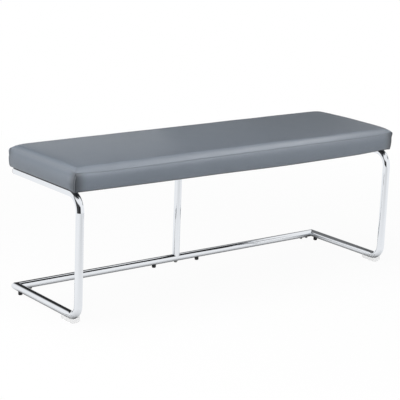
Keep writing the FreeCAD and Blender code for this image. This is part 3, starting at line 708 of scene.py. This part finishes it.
def sew(mesh):
    """Seams along the upper edges and down the corners, the faces drawn in beside them, ears on top. Also the
    layers of wear and of painted shade by the seams and on the downward faces.
    """
    points = vertex_points(mesh)
    normals = vertex_normals(mesh)
    x = points[:, 0]
    y = points[:, 1] - SEAT_Y
    rise = points[:, 2] - SEAT_BOTTOM
    level = rise / SEAT_HEIGHT
    from_end = HALF_LENGTH - np.abs(x)
    from_side = HALF_DEPTH - np.abs(y)
    on_end = from_end < from_side
    at_front = np.where(y < 0, 1, REAR_DRAW_SHARE)

    # seams and what they draw in
    upright = smooth_step(np.abs(normals[:, 2]), *UPRIGHT_SLOPES)
    climb = np.exp(-np.maximum(from_end, 0) / EDGE_SEAM_RISE_REACH)
    seam_level = EDGE_SEAM_LEVEL + EDGE_SEAM_RISE * climb
    sewn = smooth_step(rise, seam_level + SEAM_FADE_ABOVE, seam_level - SEAM_FADE_BELOW)
    sewn = sewn * smooth_step(level, *SEAM_FOOT_LEVELS) * upright
    run = np.where(on_end, from_side, -from_end)
    drawn = at_front * sewn
    tuck = TUCK_SHARE * groove(run - TUCK_RUN, TUCK_WIDTH) * on_end
    seams_and_painted_shade = (groove(run - SEAM_RUN, SEAM_WIDTH) + tuck) * sewn
    edge_seam = groove(rise - seam_level, EDGE_SEAM_WIDTH) * upright
    edge_seam = edge_seam * np.where(on_end, EDGE_SEAM_END_SHARE, 1)
    drawn_long = groove(np.maximum(-run, 0), LONG_DRAW_REACH) * ~on_end * drawn
    drawn_end = groove(np.maximum(run - TUCK_RUN, 0), END_DRAW_REACH) * on_end * drawn
    push = -SEAM_DEPTH * seams_and_painted_shade - EDGE_SEAM_DEPTH * edge_seam - LONG_DRAW * drawn_long - END_DRAW * drawn_end
    faces_out = smooth_step(normals[:, 2], *UNEVEN_SLOPES)
    push += UNEVEN * faces_out * np.array([noise.noise(Vector(p) * UNEVEN_SCALE) for p in points])
    points += normals * push[:, None]

    # upper corners and ends
    ear = groove(from_end, EAR_REACH) * groove(from_side, EAR_REACH) * smooth_step(level, *EAR_LEVELS)
    points[:, 0] += np.sign(x) * EAR_OUT * ear
    points[:, 1] += np.sign(y) * EAR_OUT * ear
    points[:, 2] += EAR_UP * ear
    upper = smooth_step(level, *UPPER_LEVELS)
    drop = groove(from_end, CORNER_DROP_REACH) * groove(from_side, CORNER_DROP_REACH) * upper * at_front
    points[:, 2] -= CORNER_DROP * drop
    slope = np.where(x < 0, LEFT_SLOPE, RIGHT_SLOPE)
    points[:, 2] -= slope * groove(from_end, END_SLOPE_REACH) * upper
    mesh.vertices.foreach_set("co", points.ravel())
    mesh.update()

    # layers for the leather: wear along the upper edges, painted shade along the seams and beside the corner
    # seams, and painted shade on the downward faces
    near_edge = np.minimum(from_end, from_side) < WEAR_REACH
    wear = smooth_step(np.abs(level - WEAR_LEVEL), WEAR_SPREAD, 0.0) * near_edge
    # painted shade: seam lines, and the faces drawn in beside the corner seams, darkened as shade would
    # darken them
    shade = seams_and_painted_shade + EDGE_SEAM_SHADE * edge_seam + LONG_DRAW_SHADE * drawn_long + END_DRAW_SHADE * drawn_end
    set_layer(mesh, "seams_and_painted_shade", np.clip(shade, 0, 1))
    set_layer(mesh, "wear", wear)
    # painted shade on the faces that turn downwards
    set_layer(mesh, "painted_underside_shade", smooth_step(normals[:, 2], *PAINTED_UNDERSIDE_SLOPES))


# Lining under the seat

def lining_sag(points, low, high):
    """How far the lining hangs: slack between its staples, pressed flat at the tabs and the plate."""
    x, y = points[:, 0], points[:, 1]
    from_end = np.minimum(x - low.x, high.x - x)
    from_side = np.minimum(y - low.y, high.y - y)
    inside = np.minimum(from_side, from_end)
    place = np.where(from_side < from_end, x / STAPLE_PITCH - STAPLE_PHASE,
                     (y - SEAT_Y) / END_STAPLE_PITCH - END_STAPLE_PHASE)
    slack = np.sin(np.pi * place) ** 2
    swell = np.array([LINING_SWELL + noise.noise(Vector(p) * LINING_SWELL_SCALE) for p in points])
    sag = LINING_SAG * smooth_step(inside, 0, LINING_SAG_REACH) * swell
    sag += LINING_PUCKER * slack * np.exp(-inside / PUCKER_REACH) * smooth_step(inside, *PUCKER_EDGE)
    for name in PRESSED_BY:
        first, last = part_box(name)
        apart = np.hypot(np.maximum(np.maximum(first.x - x, x - last.x), 0),
                         np.maximum(np.maximum(first.y - y, y - last.y), 0))
        sag *= smooth_step(apart, *PRESSED_REACH)
    return sag


def lining_sheet():
    """The black lining as one thin sheet under the board."""
    low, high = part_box("dust_cover")
    xs = np.linspace(low.x, high.x, LINING_COLUMNS)
    ys = np.linspace(low.y, high.y, LINING_ROWS)
    points = np.array([(x, y, low.z + LINING_REST) for y in ys for x in xs])
    points[:, 2] -= lining_sag(points, low, high)
    faces = sheet_faces(LINING_COLUMNS, LINING_ROWS, ((0, 0), (0, 1), (1, 1), (1, 0)))
    sheet = new_object("lining_sheet", new_mesh("lining_sheet", points, faces))
    sheet.data.materials.append(lining_material())
    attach(sheet, BODY)
    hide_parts("dust_cover")
    return sheet


# Finishes of the solids

def dress_solids():
    finishes = {
        "chromed_tube": chrome_material(),
        "zinc_steel": zinc_material(),
        "black_plastic": black_plastic_material(),
        "clear_plastic": clear_plastic_material(),
        "plywood": plywood_material(),
    }
    for part in SUBPARTS:
        if part["material_slot"] in finishes:
            mesh = NODES[part["node"]].data
            mesh.materials.clear()
            mesh.materials.append(finishes[part["material_slot"]])


# Stage

def white_world():
    """White where it shows, and a faint light on everything."""
    world = bpy.data.worlds.new("studio")
    bpy.context.scene.world = world
    world.use_nodes = True
    n = Nodes(world.node_tree)
    light = n.node("Background", Color=WHITE, Strength=WORLD_LIGHT).outputs["Background"]
    shown = n.node("Background", Color=WHITE, Strength=WORLD_SHOWN).outputs["Background"]
    n.node("OutputWorld", Surface=n.mix(n.seen_directly(), light, shown))


def white_floor():
    """White paint that mostly glows, with painted contact shade and a painted shadow patch in mirrors, and
    clear from below.
    """
    ends = (-FLOOR_REACH, FLOOR_REACH)
    points = [(x, y, 0) for y in ends for x in ends]
    faces = sheet_faces(2, 2, ((0, 0), (1, 0), (1, 1), (0, 1)))
    floor = new_object("floor", new_mesh("floor", points, faces))
    s = Surface("floor")
    shown = s.seen_directly()
    path = s.node("LightPath").outputs
    mirrored = s.math("SUBTRACT", path["Is Glossy Ray"], path["Is Transmission Ray"])
    paint = s.node("BsdfDiffuse", Color=s.blend(shown, rgb(0.3, 0.3, 0.3), rgb(0.96, 0.96, 0.96)))
    # painted contact shade: ambient occlusion dims the floor's glow beside the pieces for mirrored rays
    open_sky = s.node("AmbientOcclusion", {"samples": CONTACT_SAMPLES}, Distance=CONTACT_REACH).outputs["AO"]
    # painted shadow: a patch of the floor glows less for mirrored rays
    beside = s.vector_math("DISTANCE", "Value", s.place(), PAINTED_SHADOW_PATCH)
    patch = s.ramp(beside, PAINTED_SHADOW_REACH, (PAINTED_SHADOW_GLOW, 1.0))
    contact = s.math("MULTIPLY", s.ramp(open_sky, CONTACT_OPEN, (CONTACT_SHADE, 1.0)), patch)
    glow = s.node("Emission", Color=WHITE, Strength=s.ramp(mirrored, WHOLE, (1.0, contact)))
    apart = s.vector_math("LENGTH", "Value", s.place())
    share = s.math("MULTIPLY", shown, s.ramp(apart, FLOOR_GLOW_REACH, (FLOOR_GLOW, 1.0)))
    lit = s.mix(share, paint.outputs["BSDF"], glow.outputs["Emission"])
    from_below = s.node("NewGeometry").outputs["Backfacing"]
    clear = s.node("BsdfTransparent").outputs["BSDF"]
    floor.data.materials.append(s.show(s.mix(from_below, lit, clear)))
    return floor


def bearing(azimuth, elevation):
    """Direction at an azimuth from the back towards the right end, and an elevation, in degrees."""
    turn, lift = math.radians(azimuth), math.radians(elevation)
    return Vector((math.sin(turn) * math.cos(lift), math.cos(turn) * math.cos(lift), math.sin(lift)))


def softbox(name, azimuth, elevation, distance, wide, deep, power, without=None):
    """A rectangular lamp aimed at the bench. It can be without its diffuse or its glossy light."""
    data = bpy.data.lights.new(name, "AREA")
    data.shape = "RECTANGLE"
    data.size = wide
    data.size_y = deep
    data.energy = power
    item = new_object(name, data)
    away = bearing(azimuth, elevation)
    item.location = STUDIO_CENTRE + away * distance
    item.rotation_mode = "QUATERNION"
    item.rotation_quaternion = (-away).to_track_quat("-Z", "Y")
    if without:
        setattr(item, f"visible_{without}", False)
    return item


def light_only(items, lamps):
    """Makes lamps that light the given pieces and nothing else."""
    softboxes = [softbox(name, *values) for name, values in lamps.items()]
    lit = bpy.data.collections.new(f"{softboxes[0].name}_lit")
    for item in items:
        lit.objects.link(item)
    for lamp in softboxes:
        lamp.light_linking.receiver_collection = lit


def fade(distance, width):
    """From 0 at a card's edge to 1 a width inside it."""
    return smooth_step(distance, 0, width) if width else np.ones(len(distance))


def card_material():
    """A glow as bright as the layer shine says, and as dense as the layer cover says."""
    s = Surface("dark_card")
    face = s.node("Emission", Color=WHITE, Strength=s.attribute("shine")).outputs["Emission"]
    clear = s.node("BsdfTransparent").outputs["BSDF"]
    return s.show(s.mix(s.attribute("cover"), clear, face))


def dark_cards():
    """Black and grey cards round the set, which only reflections see. Their edges are soft."""
    material = card_material()
    steps = np.linspace(0, 1, CARD_LINES)
    faces = sheet_faces(CARD_LINES, CARD_LINES, ((0, 0), (1, 0), (1, 1), (0, 1)))
    for name, (centre, distance, (left, right), (low, high), cover, shine, fades) in CARDS.items():
        fade_across, fade_low, fade_high = fades
        points = []
        for v in steps:
            for u in steps:
                points.append(centre + distance * bearing(left + u * (right - left), low + v * (high - low)))
        card = new_object(name, new_mesh(name, points, faces))
        across = fade(np.minimum(steps, 1 - steps) * (right - left), fade_across)
        upward = fade(steps * (high - low), fade_low) * fade((1 - steps) * (high - low), fade_high)
        set_layer(card.data, "cover", cover * np.outer(upward, across).ravel())
        set_layer(card.data, "shine", np.full(len(points), shine))
        card.data.materials.append(material)
        for flag in CARD_HIDDEN_FROM:
            setattr(card, f"visible_{flag}", False)


def studio(cushion, lining):
    """White surroundings, lamps that leave the chrome out, and the cards that it mirrors."""
    white_world()
    floor = white_floor()
    matt = [NODES[part["node"]] for part in SUBPARTS if part["material_slot"] != "chromed_tube"]
    light_only(matt + [cushion, lining, floor], LAMPS)
    light_only([cushion], CUSHION_LAMPS)
    dark_cards()
    bpy.context.scene.view_settings.view_transform = "Standard"


def camera():
    data = bpy.data.cameras.new("camera")
    data.sensor_width = SENSOR
    data.lens = SENSOR * FOCAL_PIXELS / IMAGE_PIXELS
    data.clip_end = CAMERA_REACH
    item = new_object("camera", data)
    forward = Vector((math.sin(YAW) * math.cos(PITCH), math.cos(YAW) * math.cos(PITCH), -math.sin(PITCH)))
    right = Vector((math.cos(YAW), -math.sin(YAW), 0))
    down = forward.cross(right)
    across = math.cos(ROLL) * right + math.sin(ROLL) * down
    drop = math.cos(ROLL) * down - math.sin(ROLL) * right
    turn = Matrix((across, -drop, -forward)).transposed().to_4x4()
    item.matrix_world = Matrix.Translation(EYE) @ turn
    bpy.context.scene.camera = item


dress_solids()
studio(seat_cushion(), lining_sheet())
camera()
